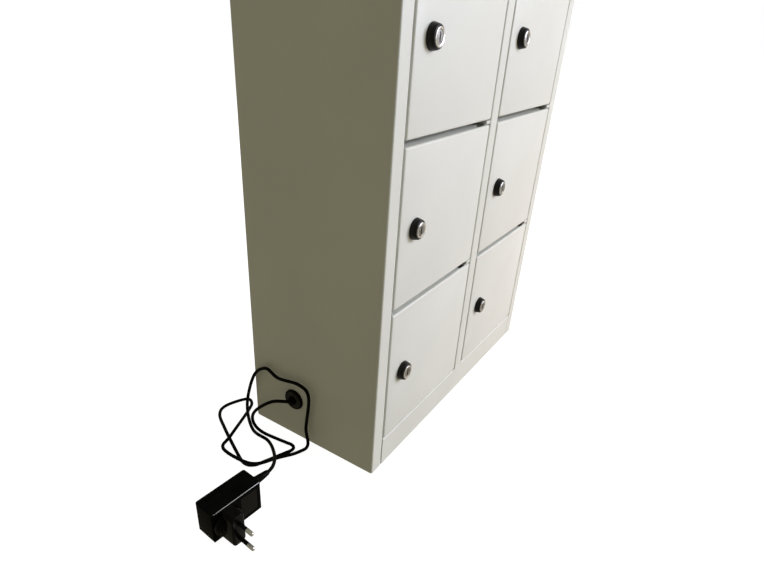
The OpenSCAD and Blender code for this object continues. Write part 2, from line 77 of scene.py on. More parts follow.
# The lead, in millimetres from the left front corner of the cabinet: out of the grommet, over the
# floor in loose loops, up against the side panel in an arch, and back to the adapter
LEAD_DIAMETER = 3.6 * MM
LEAD_ROUTE = [
    (-7, 104, 48.5), (-15, 106, 53.5), (-22, 117, 52), (-26, 134, 37), (-24, 145, 20),
    (-22, 144, 6), (-22, 130, 2), (-19, 102, 2), (-18, 94, 2), (-20, 89, 2),
    (-25, 88, 2), (-33, 91, 2), (-51, 98, 2), (-64, 104, 2), (-68, 115, 2),
    (-60, 135, 2), (-42, 172, 2), (-29, 194, 2), (-14, 200, 2), (9, 191, 2),
    (9, 181, 2), (-4, 173, 2), (-50, 153, 6), (-66, 148, 3), (-70, 118, 6),
    (-65, 100, 7), (-45.5, 90.5, 5), (-13, 77.5, 2), (-5, 84, 22), (-6, 79, 66),
    (-6, 92, 76), (-6, 121, 72), (-6, 139, 77), (-6, 158, 59), (-7, 171, 14),
    (-28, 142, 6), (-30, 117, 4), (-43, 96, 9), (-63, 76, 21)]


def make_camera():
    lens = bpy.data.cameras.new("photo_camera")
    lens.lens = FOCAL_LENGTH
    lens.sensor_width = SENSOR_WIDTH
    lens.shift_y = CAMERA_SHIFT
    camera = bpy.data.objects.new("photo_camera", lens)
    bpy.context.scene.collection.objects.link(camera)
    camera.matrix_world = (
        Matrix.Translation(CAMERA_PLACE)
        @ Matrix.Rotation(CAMERA_YAW, 4, "Z")
        @ Matrix.Rotation(CAMERA_TILT, 4, "X")
        @ Matrix.Rotation(CAMERA_ROLL, 4, "Z"))
    bpy.context.scene.camera = camera


# Working in edit mode

@contextmanager
def editing(piece):
    """Edit mode on one piece alone."""
    bpy.ops.object.select_all(action="DESELECT")
    piece.select_set(True)
    bpy.context.view_layer.objects.active = piece
    bpy.ops.object.mode_set(mode="EDIT")
    yield
    bpy.ops.object.mode_set(mode="OBJECT")


def choose(piece, kind, wanted):
    """Selects, in edit mode, the faces or edges whose middle and direction pass the test."""
    bpy.ops.mesh.select_mode(type=kind)
    bpy.ops.mesh.select_all(action="DESELECT")
    shape = bmesh.from_edit_mesh(piece.data)
    if kind == "FACE":
        found = [face for face in shape.faces if wanted(face.calc_center_median(), face.normal)]
    else:
        found = [
            edge for edge in shape.edges
            if wanted((edge.verts[0].co + edge.verts[1].co) / 2,
                      (edge.verts[1].co - edge.verts[0].co).normalized())]
    for item in found:
        item.select_set(True)
    bmesh.update_edit_mesh(piece.data)
    return len(found)


def same(a, b):
    return abs(a - b) < 1e-5


def settle(name):
    """Names the new primitive and puts its place into its mesh."""
    piece = bpy.context.active_object
    piece.name = name
    piece.data.name = name
    bpy.ops.object.transform_apply(location=True, rotation=True, scale=True)
    return piece


def block(name, low, high):
    """A box between two corners."""
    low, high = Vector(low), Vector(high)
    bpy.ops.object.select_all(action="DESELECT")
    bpy.ops.mesh.primitive_cube_add(size=1, location=(low + high) / 2, scale=high - low)
    return settle(name)


def rod(name, radius, low, high, sides=48):
    """A round bar between two points."""
    bpy.ops.object.select_all(action="DESELECT")
    middle = (Vector(low) + Vector(high)) / 2
    length = (Vector(high) - Vector(low)).length
    bpy.ops.mesh.primitive_cylinder_add(
        vertices=sides, radius=radius, depth=length, location=middle,
        rotation=(Vector(high) - Vector(low)).to_track_quat("Z", "Y").to_euler())
    return settle(name)


def turned(name, profile, sides=48, ring=False):
    """A ring extruded up the Z axis and sized from one (radius, height) of the profile, in
    millimetres, to the next. A ring's last loop meets its first one, and other ends are capped."""
    radius, height = profile[0]
    bpy.ops.object.select_all(action="DESELECT")
    bpy.ops.mesh.primitive_circle_add(
        vertices=sides, radius=radius * MM, fill_type="NOTHING", location=(0, 0, height * MM))
    piece = settle(name)
    with editing(piece):
        bpy.ops.mesh.select_mode(type="EDGE")
        bpy.ops.mesh.select_all(action="SELECT")
        for next_radius, next_height in profile[1:] + profile[:1] * ring:
            rise = (0, 0, (next_height - height) * MM)
            growth = next_radius / radius
            bpy.ops.mesh.extrude_region_move(TRANSFORM_OT_translate={"value": rise})
            bpy.ops.transform.resize(
                value=(growth, growth, 1), center_override=(0, 0, next_height * MM))
            radius, height = next_radius, next_height
        bpy.ops.mesh.select_all(action="SELECT")
        bpy.ops.mesh.remove_doubles(threshold=1e-6)
        if not ring:
            bpy.ops.mesh.fill_holes(sides=0)
        bpy.ops.mesh.normals_make_consistent(inside=False)
    return piece


def put(piece, place, turn=(0, 0, 0)):
    """Turns a piece about the origin and then moves it, in its mesh."""
    piece.rotation_euler = Euler(turn)
    piece.location = place
    bpy.ops.object.select_all(action="DESELECT")
    piece.select_set(True)
    bpy.context.view_layer.objects.active = piece
    bpy.ops.object.transform_apply(location=True, rotation=True, scale=True)
    return piece


def bevel(piece, wanted, width, segments=4):
    """Rounds the edges that pass the test."""
    with editing(piece):
        if choose(piece, "EDGE", wanted):
            bpy.ops.mesh.bevel(
                offset=width, offset_type="OFFSET", segments=segments, affect="EDGES")


def apply_modifier(piece, kind, **settings):
    modifier = piece.modifiers.new(kind.lower(), kind)
    for name, value in settings.items():
        setattr(modifier, name, value)
    bpy.ops.object.select_all(action="DESELECT")
    piece.select_set(True)
    bpy.context.view_layer.objects.active = piece
    bpy.ops.object.modifier_apply(modifier=modifier.name)


def round_over(piece, width, segments=2, angle=35):
    """Breaks every edge sharper than the angle."""
    apply_modifier(
        piece, "BEVEL", width=width, segments=segments, limit_method="ANGLE",
        angle_limit=math.radians(angle))


def cut(piece, *cutters):
    for cutter in cutters:
        apply_modifier(piece, "BOOLEAN", operation="DIFFERENCE", object=cutter, solver="EXACT")
        bpy.data.objects.remove(cutter)


def weld(piece, *others):
    for other in others:
        apply_modifier(piece, "BOOLEAN", operation="UNION", object=other, solver="EXACT")
        bpy.data.objects.remove(other)


def join(name, pieces):
    bpy.ops.object.select_all(action="DESELECT")
    for piece in pieces:
        piece.select_set(True)
    bpy.context.view_layer.objects.active = pieces[0]
    bpy.ops.object.join()
    pieces[0].name = name
    return pieces[0]


def copied(piece, name, move):
    """A copy with its own mesh, moved in that mesh."""
    twin = piece.copy()
    twin.data = piece.data.copy()
    twin.name = name
    twin.data.name = name
    twin.data.transform(Matrix.Translation(move))
    bpy.context.scene.collection.objects.link(twin)
    return twin


def coat(piece, *finishes):
    piece.data.materials.clear()
    for finish in finishes:
        piece.data.materials.append(finish)


def mark(piece, number, wanted):
    """Gives the faces that pass the test the finish with that number."""
    for face in piece.data.polygons:
        if wanted(face.center, face.normal):
            face.material_index = number


def smooth(piece, angle=35):
    bpy.ops.object.select_all(action="DESELECT")
    piece.select_set(True)
    bpy.context.view_layer.objects.active = piece
    bpy.ops.object.shade_smooth_by_angle(angle=math.radians(angle))


def hand_over(piece, body, nodes):
    """The piece rides on its body and stands for its nodes."""
    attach(piece, body)
    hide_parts(*nodes)


# Finishes

def linear(colour):
    """An sRGB hex colour as linear red, green, blue and alpha."""
    parts = [int(colour[i:i + 2], 16) / 255 for i in (1, 3, 5)]
    return [c / 12.92 if c <= 0.04045 else ((c + 0.055) / 1.055) ** 2.4 for c in parts] + [1]


def new_finish(name):
    """An empty material: its node tree, its shader and its Object coordinates."""
    finish = bpy.data.materials.new(name)
    finish.use_nodes = True
    tree = finish.node_tree
    tree.nodes.clear()
    shader = add_node(tree, "ShaderNodeBsdfPrincipled")
    add_node(tree, "ShaderNodeOutputMaterial", Surface=shader.outputs["BSDF"])
    place = add_node(tree, "ShaderNodeTexCoord").outputs["Object"]
    return finish, tree, shader, place


def add_node(tree, kind, stops=None, **wanted):
    """Adds a node. Each named setting is a property, a socket's value or a link to it, with spaces
    as underscores, and stops are a colour ramp's places and colours."""
    node = tree.nodes.new(kind)
    for name, value in wanted.items():
        socket = node.inputs.get(name.replace("_", " "))
        if isinstance(value, bpy.types.NodeSocket):
            tree.links.new(value, socket)
        elif socket is None:
            setattr(node, name, value)
        else:
            socket.default_value = value
    if stops:
        ends = node.color_ramp.elements
        for end, (place, colour) in zip(ends, stops):
            end.position = place
            end.color = linear(colour)
    return node


def set_shader(tree, shader, **wanted):
    """Sets or links the shader's own sockets."""
    for name, value in wanted.items():
        socket = shader.inputs[name.replace("_", " ")]
        if isinstance(value, bpy.types.NodeSocket):
            tree.links.new(value, socket)
        else:
            socket.default_value = value


def make_powder_coat(name, pale, grey):
    """Polyester powder coat on steel sheet: an even light grey with a soft sheen, and the orange
    peel that the powder leaves when it flows, 3 mm from wave to wave so that it shows."""
    finish, tree, shader, place = new_finish(name)
    peel = add_node(tree, "ShaderNodeTexNoise", Vector=place, Scale=1 / (3 * MM), Detail=2)
    grain = add_node(tree, "ShaderNodeTexNoise", Vector=place, Scale=1 / (0.5 * MM), Detail=1)
    drift = add_node(tree, "ShaderNodeTexNoise", Vector=place, Scale=1 / (90 * MM), Detail=3)
    tone = add_node(
        tree, "ShaderNodeValToRGB", stops=[(0.35, grey), (0.65, pale)], Fac=drift.outputs["Fac"])
    gloss = add_node(
        tree, "ShaderNodeMapRange", Value=peel.outputs["Fac"], From_Min=0.3, From_Max=0.7,
        To_Min=0.38, To_Max=0.46)
    fine = add_node(
        tree, "ShaderNodeBump", Strength=0.25, Distance=0.02 * MM, Height=grain.outputs["Fac"])
    waves = add_node(
        tree, "ShaderNodeBump", Strength=0.4, Distance=0.06 * MM, Height=peel.outputs["Fac"],
        Normal=fine.outputs["Normal"])
    set_shader(
        tree, shader, Base_Color=tone.outputs["Color"], Roughness=gloss.outputs["Result"],
        Normal=waves.outputs["Normal"], IOR=1.5)
    return finish


def make_moulded_plastic(name, dark, worn, low_gloss, high_gloss, grain_size, depth, shine=0.5):
    """Injection-moulded plastic from a spark-eroded mould: near black, with a fine even grain, and
    handling that polishes it in patches. The shine is the strength of its clear reflections."""
    finish, tree, shader, place = new_finish(name)
    grain = add_node(tree, "ShaderNodeTexNoise", Vector=place, Scale=1 / grain_size, Detail=2)
    patches = add_node(tree, "ShaderNodeTexNoise", Vector=place, Scale=1 / (14 * MM), Detail=4)
    tone = add_node(
        tree, "ShaderNodeValToRGB", stops=[(0.4, dark), (0.75, worn)],
        Fac=patches.outputs["Fac"])
    gloss = add_node(
        tree, "ShaderNodeMapRange", Value=patches.outputs["Fac"], From_Min=0.3, From_Max=0.7,
        To_Min=low_gloss, To_Max=high_gloss)
    skin = add_node(
        tree, "ShaderNodeBump", Strength=0.5, Distance=depth, Height=grain.outputs["Fac"])
    set_shader(
        tree, shader, Base_Color=tone.outputs["Color"], Roughness=gloss.outputs["Result"],
        Normal=skin.outputs["Normal"], Specular_IOR_Level=shine)
    return finish


def make_plated_metal(name, bright, dull, low_gloss, high_gloss, stretch):
    """Plated metal: fine polishing lines along one axis, and a plate that is brighter in some
    patches than in others."""
    finish, tree, shader, place = new_finish(name)
    lines_place = add_node(tree, "ShaderNodeMapping", Vector=place, Scale=stretch)
    lines = add_node(
        tree, "ShaderNodeTexNoise", Vector=lines_place.outputs["Vector"], Scale=1 / (0.4 * MM),
        Detail=3)
    patches = add_node(tree, "ShaderNodeTexNoise", Vector=place, Scale=1 / (5 * MM), Detail=3)
    tone = add_node(
        tree, "ShaderNodeValToRGB", stops=[(0.35, dull), (0.65, bright)],
        Fac=patches.outputs["Fac"])
    gloss = add_node(
        tree, "ShaderNodeMapRange", Value=lines.outputs["Fac"], From_Min=0.3, From_Max=0.7,
        To_Min=low_gloss, To_Max=high_gloss)
    scratches = add_node(
        tree, "ShaderNodeBump", Strength=0.2, Distance=0.01 * MM, Height=lines.outputs["Fac"])
    set_shader(
        tree, shader, Base_Color=tone.outputs["Color"], Roughness=gloss.outputs["Result"],
        Normal=scratches.outputs["Normal"], Metallic=1)
    return finish


def make_solder_mask():
    """Green solder mask on glass-fibre board: glossy, with the copper under it showing as paler
    tracks about 2 mm wide."""
    finish, tree, shader, place = new_finish("green_solder_mask")
    tracks = add_node(
        tree, "ShaderNodeTexBrick", Vector=place, Scale=1 / (8 * MM), Mortar_Size=0.12,
        Color1=linear("#2c6a4a"), Color2=linear("#29603f"), Mortar=linear("#1d4a33"))
    edges = add_node(
        tree, "ShaderNodeBump", Strength=0.4, Distance=0.03 * MM, Height=tracks.outputs["Fac"])
    set_shader(
        tree, shader, Base_Color=tracks.outputs["Color"], Normal=edges.outputs["Normal"],
        Roughness=0.28, IOR=1.55)
    return finish


def make_floor_finish():
    """White sweep of paper under the part. It glows a little under its own matt face, so that it
    stays white as far as it goes and only the contact shadows darken it."""
    finish, tree, shader, place = new_finish("white_paper_sweep")
    drift = add_node(tree, "ShaderNodeTexNoise", Vector=place, Scale=2.5, Detail=2)
    tone = add_node(
        tree, "ShaderNodeValToRGB", stops=[(0.3, "#787878"), (0.7, "#7c7c7c")],
        Fac=drift.outputs["Fac"])
    set_shader(
        tree, shader, Base_Color=tone.outputs["Color"], Roughness=0.9, Specular_IOR_Level=0,
        Emission_Color=linear("#ffffff"), Emission_Strength=0.97)
    return finish


# Doors

def make_door():
    """The lowest left door: a pan folded from one sheet, with its corners welded and ground."""
    low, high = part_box("door_1_left")
    door = block("door_shape", low, high)
    with editing(door):
        choose(door, "FACE", lambda middle, way: way.y > 0.9)
        bpy.ops.mesh.delete(type="FACE")
    bevel(
        door, lambda middle, way: same(middle.y, low.y) or abs(way.y) > 0.9,
        BEND_RADIUS, segments=5)
    apply_modifier(door, "SOLIDIFY", thickness=SHEET, offset=-1, use_even_offset=True)
    pin_inset, pin_back = 5 * MM, 4.5 * MM
    pin = Vector((high.x - pin_inset, low.y + pin_back, 0))
    slot_low = pin + Vector((-16, -2.5, 0)) * MM
    slot_high = slot_low + Vector((12, 7, 0)) * MM
    reach = 3 * MM
    for z in (low.z, high.z):
        below, above = Vector((0, 0, z - reach)), Vector((0, 0, z + reach))
        slot = block("slot", slot_low + below, slot_high + above)
        bevel(slot, lambda middle, way: abs(way.z) > 0.9, 1 * MM, segments=3)
        cut(door, slot, rod("bore", PIN_BORE, pin + below, pin + above, 24))
    lock_x, lock_z = lock_axis(1, "left")
    cut(door, rod(
        "bore", BARREL_BORE, (lock_x, low.y - reach, lock_z), (lock_x, low.y + reach, lock_z)))
    smooth(door)
    return door


def make_doors(paint):
    """The lowest left door, copied to every place, each on its own body."""
    door = make_door()
    coat(door, paint)
    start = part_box("door_1_left")[0]
    for row in range(1, ROWS + 1):
        for side in SIDES:
            place = f"_{row}_{side}"
            pan = copied(door, f"door{place}_pan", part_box("door" + place)[0] - start)
            hand_over(pan, "door_body" + place, ["door" + place])
    bpy.data.objects.remove(door)


def lock_axis(row, side):
    """Where a lock's axis crosses the front, as x and z."""
    low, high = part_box(f"lock_barrel_{row}_{side}")
    return (low.x + high.x) / 2, (low.z + high.z) / 2


# Locks, each modelled on the Z axis with the front of the door at height 0, and then turned to
# face the front

def make_lock_collar():
    return turned("collar_shape", [
        (7.25, 0), (9.8, 0), (10, 0.25), (9.95, 0.9), (8.95, 5.1), (8.75, 5.6), (8.4, 6),
        (8, 6.18), (7.75, 6.2), (7.45, 6.1), (7.25, 5.8)], sides=64, ring=True)


def make_lock_barrel():
    """The barrel, with its thread behind the door, and the nut that clamps it."""
    thread = [(radius, -14.4 + turn + step) for turn in range(9)
              for radius, step in ((6.75, 0), (7.2, 0.35), (7.2, 0.55), (6.75, 0.95))]
    barrel = turned("barrel_shape", [
        (5.05, -15), (6.6, -15), *thread, (7.2, -5), (7.2, 6.5), (7.12, 6.8), (6.9, 6.97),
        (6.6, 7), (5.5, 6.82), (5.2, 6.72), (5.05, 6.5)], sides=64, ring=True)
    across_flats = 19 * MM
    bpy.ops.object.select_all(action="DESELECT")
    bpy.ops.mesh.primitive_cylinder_add(
        vertices=6, radius=across_flats / 2 / math.cos(math.pi / 6), depth=4 * MM,
        location=(0, 0, -3.2 * MM), rotation=(0, 0, math.pi / 6))
    nut = settle("nut")
    bevel(nut, lambda middle, way: abs(way.z) < 0.1, 0.5 * MM, segments=2)
    cut(nut, rod("bore", BARREL_BORE, (0, 0, -8 * MM), (0, 0, 0)))
    return join("barrel_shape", [barrel, nut])


def make_lock_plug():
    """The turning plug: a face with a warded keyway, and the square that drives the cam."""
    plug = turned("plug_shape", [
        (4.9, -16.2), (4.98, -16.1), (5, 6.2), (4.9, 6.45), (4.7, 6.58), (4.5, 6.6)], sides=64)
    weld(plug, block("square", Vector((-3, -3, -18.2)) * MM, Vector((3, 3, -16)) * MM))
    slot_and_wards = (
        ((-0.75, -3.5), (0.75, 3.5)), ((-0.5, 0.9), (1.25, 2.6)), ((-1.2, -1.9), (0.5, -0.1)))
    for low, high in slot_and_wards:
        cut(plug, block("keyway", Vector((*low, -2.4)) * MM, Vector((*high, 8)) * MM))
    return plug


def make_lock_cam():
    """The cam plate with rounded ends, and the cross-head screw that holds it."""
    cam = block("cam_shape", Vector((-7, -35, -18.2)) * MM, Vector((7, 7, -16.2)) * MM)
    bevel(cam, lambda middle, way: abs(way.z) > 0.9 and middle.y < 0, 4 * MM, segments=8)
    bevel(
        cam, lambda middle, way: abs(way.z) > 0.9 and same(middle.y, 7 * MM), 6.8 * MM,
        segments=12)
    cut(cam, block("square", Vector((-3.05, -3.05, -19)) * MM, Vector((3.05, 3.05, -15)) * MM))
    round_over(cam, 0.25 * MM)
    screw = turned("screw", [
        (4.4, -18.25), (4.6, -18.4), (4.6, -19.1), (4.3, -19.7), (3.6, -20.2), (2.6, -20.42),
        (1.2, -20.45)], sides=32)
    for size in ((2.2, 0.45), (0.45, 2.2)):
        cross = Vector((*size, 0)) * MM
        cross_low, cross_high = Vector((0, 0, -21)) * MM, Vector((0, 0, -19.3)) * MM
        cut(screw, block("cross", cross_low - cross, cross_high + cross))
    return join("cam_shape", [cam, screw])


def make_locks(chrome, core, keyway, zinc, black):
    """Each part of a lock once, and a copy of it in every door."""
    shapes = {
        "lock_collar": (make_lock_collar(), "black_plastic", (black,)),
        "lock_barrel": (make_lock_barrel(), "chrome", (chrome, zinc)),
        "lock_plug": (make_lock_plug(), "chrome", (core, keyway)),
        "lock_cam": (make_lock_cam(), "zinc", (zinc,))}
    for kind, (shape, slot, coats) in shapes.items():
        coat(shape, *coats)
        smooth(shape)
    below_face = 6.4 * MM
    mark(shapes["lock_barrel"][0], 1, lambda middle, way: middle.z < 0)
    # The faces inside the keyway take the dark finish: painted shade in the slot.
    mark(
        shapes["lock_plug"][0], 1,
        lambda middle, way: abs(middle.x) < 1.4 * MM and abs(middle.y) < 3.6 * MM
        and -3 * MM < middle.z < below_face)
    for kind, (shape, slot, coats) in shapes.items():
        put(shape, (0, 0, 0), (math.pi / 2, 0, 0))
        for row in range(1, ROWS + 1):
            for side in SIDES:
                x, z = lock_axis(row, side)
                place = f"_{row}_{side}"
                piece = copied(shape, kind + place + "_detail", (x, FRONT, z))
                turns = kind in ("lock_plug", "lock_cam")
                body = ("lock_rotor" if turns else "door_body") + place
                hand_over(piece, body, [kind + place])
        bpy.data.objects.remove(shape)


# Hinge tabs

def make_hinge_tabs(finish):
    """The tabs that stand in the gaps between the doors, each with a bore for its pin."""
    low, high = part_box("hinge_tabs")
    size = Vector((9.25, 9, 3.2)) * MM
    pin = Vector((3, 4, 0)) * MM
    reach = Vector((0, 0, 5)) * MM
    tab = block("tab_shape", low, low + size)
    cut(tab, rod("bore", PIN_BORE, low + pin - reach, low + pin + reach, 24))
    round_over(tab, 0.5 * MM)
    step = (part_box("door_2_left")[0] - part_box("door_1_left")[0]).z
    across = high.x - size.x - low.x
    moves = [Vector((x, 0, row * step)) for row in range(ROWS - 1) for x in (0, across)]
    tabs = join("hinge_tabs_detail", [copied(tab, "tab", move) for move in moves])
    bpy.data.objects.remove(tab)
    coat(tabs, finish)
    smooth(tabs)
    hand_over(tabs, "cabinet", ["hinge_tabs"])


# Charging sockets

def make_sockets(black, metal):
    """Moulded housings with a round-cornered face, a metal shell in the mouth and a tongue."""
    low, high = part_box("charging_sockets")
    face_size = Vector((25, 1.5, 17)) * MM
    middle = low + face_size / 2
    face = block("face", low, low + face_size)
    bevel(face, lambda at, way: abs(way.y) > 0.9, 2 * MM, segments=5)
    round_over(face, 0.4 * MM)
    body_low = middle + Vector((-11, 0.3, -7)) * MM
    body_high = Vector((middle.x + 11 * MM, high.y, middle.z + 7 * MM))
    weld(face, block("body", body_low, body_high))
    mouth_low, mouth_high = Vector((-4.5, -4, -1.6)) * MM, Vector((4.5, 5.2, 1.6)) * MM
    mouth = block("mouth", middle + mouth_low, middle + mouth_high)
    bevel(mouth, lambda at, way: abs(way.y) > 0.9, 1.55 * MM, segments=6)
    cut(face, mouth)
    tongue_low, tongue_high = Vector((-3.4, 0.2, -0.35)) * MM, Vector((3.4, 5.4, 0.35)) * MM
    tongue = block("tongue", middle + tongue_low, middle + tongue_high)
    round_over(tongue, 0.15 * MM)
    socket = join("socket_shape", [face, tongue])
    coat(socket, black, metal)
    mark(
        socket, 1, lambda at, way: abs(at.x - middle.x) < 4.6 * MM
        and 0.36 * MM < abs(at.z - middle.z) < 1.7 * MM and at.y < middle.y + 5 * MM
        and abs(way.y) < 0.5)
    steps = [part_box(f"door_{row}_left")[0].z for row in range(1, ROWS + 1)]
    across = high.x - face_size.x - low.x
    shelf_drop = 1.9 * MM
    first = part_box("plinth_plate")[1].z
    moves = [
        Vector((x, 0, 0 if row == 0 else steps[row] - shelf_drop - first))
        for row in range(ROWS) for x in (0, across)]
    sockets = join("charging_sockets_detail", [copied(socket, "socket", move) for move in moves])
    bpy.data.objects.remove(socket)
    smooth(sockets)
    hand_over(sockets, "cabinet", ["charging_sockets"])


# Grommet, lead and adapter

def make_grommet(rubber, shadowed):
    """The rubber grommet: a dished face round the hub that the lead comes out of."""
    low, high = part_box("cable_grommet")
    grommet = turned("cable_grommet_detail", [
        (2, -3.6), (10.2, -3.6), (10.7, -3.2), (11.4, -1.5), (11.3, -1.27), (8.95, -1.25),
        (8.95, 0.05), (11.75, 0.05), (12, 0.4), (11.85, 1.5), (11.4, 2.3), (10.7, 2.6),
        (9.9, 2.6), (9.1, 2.35), (8.2, 1.8), (7.1, 1.4), (6.2, 1.3), (5.6, 1.5), (5.2, 2),
        (4.95, 3), (4.6, 5.5), (4.4, 6.4), (3.9, 6.9), (3.3, 7), (2, 7)], sides=64)
    place = Vector((CORNER.x, (low.y + high.y) / 2, (low.z + high.z) / 2))
    put(grommet, place, (0, -math.pi / 2, 0))
    coat(grommet, rubber, shadowed)
    mark(grommet, 1, lambda at, way: not 5 * MM < (at - place).yz.length < 9.5 * MM)
    smooth(grommet, 50)
    hand_over(grommet, "cabinet", ["cable_grommet"])


def on_adapter(place):
    """A place in the adapter's own frame, as a place in the room."""
    return ADAPTER_PLACE + Matrix.Rotation(ADAPTER_TURN, 3, "Z") @ Vector(place)


def lead_line(points, beyond, steps=12):
    """Points of a smooth line through the route, which leaves its last point towards the one
    beyond it."""
    padded = [2 * points[0] - points[1], *points, beyond]
    line = []
    for a, b, c, d in zip(padded, padded[1:], padded[2:], padded[3:]):
        for step in range(steps):
            t = step / steps
            line.append(0.5 * (
                2 * b + (c - a) * t + (2 * a - 5 * b + 4 * c - d) * t * t
                + (3 * b - a - 3 * c + d) * t * t * t))
    return line + [points[-1]]


def make_lead(name, line, finish):
    """A round jacket along a line of points."""
    curve = bpy.data.curves.new(name, "CURVE")
    curve.dimensions = "3D"
    curve.bevel_depth = LEAD_DIAMETER / 2
    curve.bevel_resolution = 6
    curve.use_fill_caps = True
    spline = curve.splines.new("POLY")
    spline.points.add(len(line) - 1)
    for point, place in zip(spline.points, line):
        point.co = (*place, 1)
    spline.use_smooth = True
    lead = bpy.data.objects.new(name, curve)
    bpy.context.scene.collection.objects.link(lead)
    curve.materials.append(finish)
    return lead


def make_power_cord(finish):
    """The lead outside the cabinet, which runs on to an anchor inside the adapter."""
    tip = on_adapter(RELIEF_PLACE + Vector((RELIEF_LENGTH, 0, 0)))
    anchor = on_adapter(RELIEF_PLACE - Vector((3 * MM, 0, 0)))
    line = lead_line([CORNER + Vector(point) * MM for point in LEAD_ROUTE] + [tip], anchor)
    for place in line:
        place.z = max(place.z, LEAD_DIAMETER / 2)
    line.append(anchor)
    cord = make_lead("power_cord_jacket", line, finish)
    hand_over(cord, "cabinet", ["power_cord"])
    return cord, line


def make_supply_lead(finish):
    """The lead inside the cabinet, from the grommet to the board."""
    grommet_low, grommet_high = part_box("cable_grommet")
    start = (grommet_low + grommet_high) / 2
    start.x = grommet_high.x
    terminal_middle, terminal_height = 4.5 * MM, 79 * MM
    end = Vector((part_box("supply_lead")[1].x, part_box("charging_board")[1].y - terminal_middle,
                  terminal_height))
    route = [
        start, CORNER + Vector((20, 104, 46.5)) * MM, CORNER + Vector((45, 110, 52.5)) * MM,
        CORNER + Vector((70, 112, 64.5)) * MM, end]
    lead = make_lead("supply_lead_jacket", lead_line(route, 2 * route[-1] - route[-2]), finish)
    hand_over(lead, "cabinet", ["supply_lead"])


def make_adapter_housing(plastic, film, edge):
    """Two moulded shells that meet in a groove, with a shallow panel on top and a bare label panel
    beside the plug head."""
    half = Vector((ADAPTER_SIZE.x / 2, ADAPTER_SIZE.y / 2, 0))
    top = ADAPTER_SIZE.z
    housing = block("adapter_housing_shells", -half, half + Vector((0, 0, top)))
    bevel(housing, lambda at, way: same(at.z, 0), 3 * MM, segments=5)
    bevel(housing, lambda at, way: at.z > 2 * MM and abs(way.z) > 0.5, 2.2 * MM, segments=5)
    bevel(housing, lambda at, way: same(at.z, top), 0.35 * MM, segments=1)
    seam, seam_width = half.y - 4 * MM, 0.4 * MM
    with editing(housing):
        for place in (seam, seam + seam_width):
            bpy.ops.mesh.select_all(action="SELECT")
            bpy.ops.mesh.bisect(plane_co=(0, place, 0), plane_no=(0, 1, 0))
        choose(housing, "FACE", lambda at, way: seam < at.y < seam + seam_width)
        bpy.ops.mesh.extrude_region_shrink_fatten(
            TRANSFORM_OT_shrink_fatten={"value": -0.35 * MM})
    outside, sunk = -half.y - 1 * MM, -half.y + 0.3 * MM
    dish = rod(
        "dish", 14.4 * MM, (PLUG_PLACE.x, outside, PLUG_PLACE.z),
        (PLUG_PLACE.x, -half.y + 0.8 * MM, PLUG_PLACE.z), 64)
    panel = block("panel", (4 * MM, outside, 5 * MM), (22.5 * MM, sunk, 30 * MM))
    bevel(panel, lambda at, way: abs(way.y) > 0.9, 1 * MM, segments=3)
    shallow = block("shallow", (-21 * MM, -1 * MM, top - 0.4 * MM), (-4 * MM, 7 * MM, top + 1 * MM))
    bevel(shallow, lambda at, way: abs(way.z) > 0.9, 1.5 * MM, segments=4)
    line = block("line", (24 * MM, outside, 3 * MM), (24.5 * MM, sunk, 32 * MM))
    cut(housing, dish, panel, shallow, line)
    coat(housing, plastic, film, edge)
    mark(housing, 2, lambda at, way: way.y < -0.5 and way.z > 0.5 and at.z > top - 0.6 * MM)
    mark(
        housing, 1,
        lambda at, way: way.y < -0.9 and 4.5 * MM < at.x < 22 * MM and same(at.y, sunk))
    put(housing, ADAPTER_PLACE, (0, 0, ADAPTER_TURN))
    smooth(housing)
    hand_over(housing, "cabinet", ["adapter_housing"])
    return housing


def make_plug_head(plastic, pin_metal):
    """The plug head on its stepped round foot, and its two half-sleeved pins."""
    head = turned("plug_head_moulding", [
        (3, 0), (13.8, 0), (14, 0.3), (14, 3.4), (13.8, 3.8), (13.3, 4), (12.7, 4), (12.5, 3.7),
        (11.9, 3.7), (11.7, 4.4), (11.5, 5), (11.1, 5.3), (10.2, 5.4), (10, 5.1), (9.4, 5.1),
        (9.2, 5.9), (9, 6.5), (8.6, 6.8), (7.9, 7), (3, 7)], sides=64)
    body = block("body", Vector((-7, -17.2, 1.2)) * MM, Vector((7, 17.2, 17)) * MM)
    with editing(body):
        choose(body, "FACE", lambda at, way: way.z > 0.9)
        bpy.ops.transform.resize(value=(0.95, 0.98, 1), center_override=(0, 0, 17 * MM))
    bevel(body, lambda at, way: abs(way.z) > 0.9, 4 * MM, segments=6)
    bevel(body, lambda at, way: same(at.z, 17 * MM), 1.2 * MM, segments=3)
    weld(head, body)
    pins = []
    for side in (-1, 1):
        pin = turned("pin", [
            (1, 16.6), (1.9, 16.6), (1.9, 28.2), (1.98, 28.3), (2, 28.4), (2, 34.6), (1.85, 35.3),
            (1.4, 35.8), (0.7, 36)], sides=32)
        pins.append(put(pin, (0, side * 9.3 * MM, 0)))
    pins = join("plug_pins", pins)
    sleeve_end = 28.3 * MM
    coat(head, plastic)
    coat(pins, plastic, pin_metal)
    mark(pins, 1, lambda at, way: at.z > sleeve_end)
    for piece in (head, pins):
        put(piece, PLUG_PLACE, (math.pi / 2, 0, 0))
        put(piece, ADAPTER_PLACE, (0, 0, ADAPTER_TURN))
        smooth(piece)
    hand_over(head, "cabinet", ["plug_head"])
    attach(pins, "cabinet")
    return head, pins


